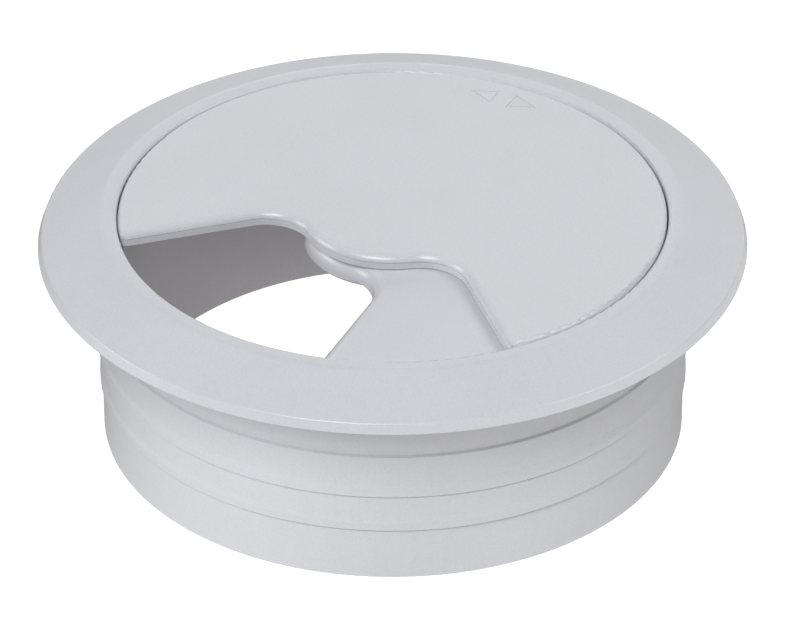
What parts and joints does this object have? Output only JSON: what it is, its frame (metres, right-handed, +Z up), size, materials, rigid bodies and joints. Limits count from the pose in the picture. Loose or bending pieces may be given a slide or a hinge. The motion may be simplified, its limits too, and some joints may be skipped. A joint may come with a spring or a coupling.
{
  "type": "desk grommet",
  "caption": "Round cable grommet for a desk top: flanged sleeve with stepped grip tiers, closed by a keyed lower plate and a turning lid, each with a wedge cut-out.",
  "frame": {"origin": "on the axis of the sleeve, at the desk-top plane that the flange's underside rests on", "axes": "+Z up out of the desk along the sleeve's axis, -Y towards the user; the lower plate's cut-out opens towards -X and a little -Y"},
  "size_m": [0.0958, 0.0958, 0.0326],
  "materials": {
    "grey_plastic": "light cool grey moulded polystyrene, satin, with a fine even texture"
  },
  "bodies": {
    "sleeve_body": {"sleeve": "grey_plastic"},
    "plate_body": {"lower_plate": "grey_plastic"},
    "lid_body": {"lid": "grey_plastic"}
  },
  "joints": [
    {"name": "cap_lift", "type": "slide", "parent": "sleeve_body", "child": "plate_body", "axis": [0, 0, 1], "range_m": [0, 0.025]},
    {"name": "lid_turn", "type": "hinge", "parent": "plate_body", "child": "lid_body", "pos_m": [0, 0, 0], "axis": [0, 0, 1], "continuous": true}
  ]
}
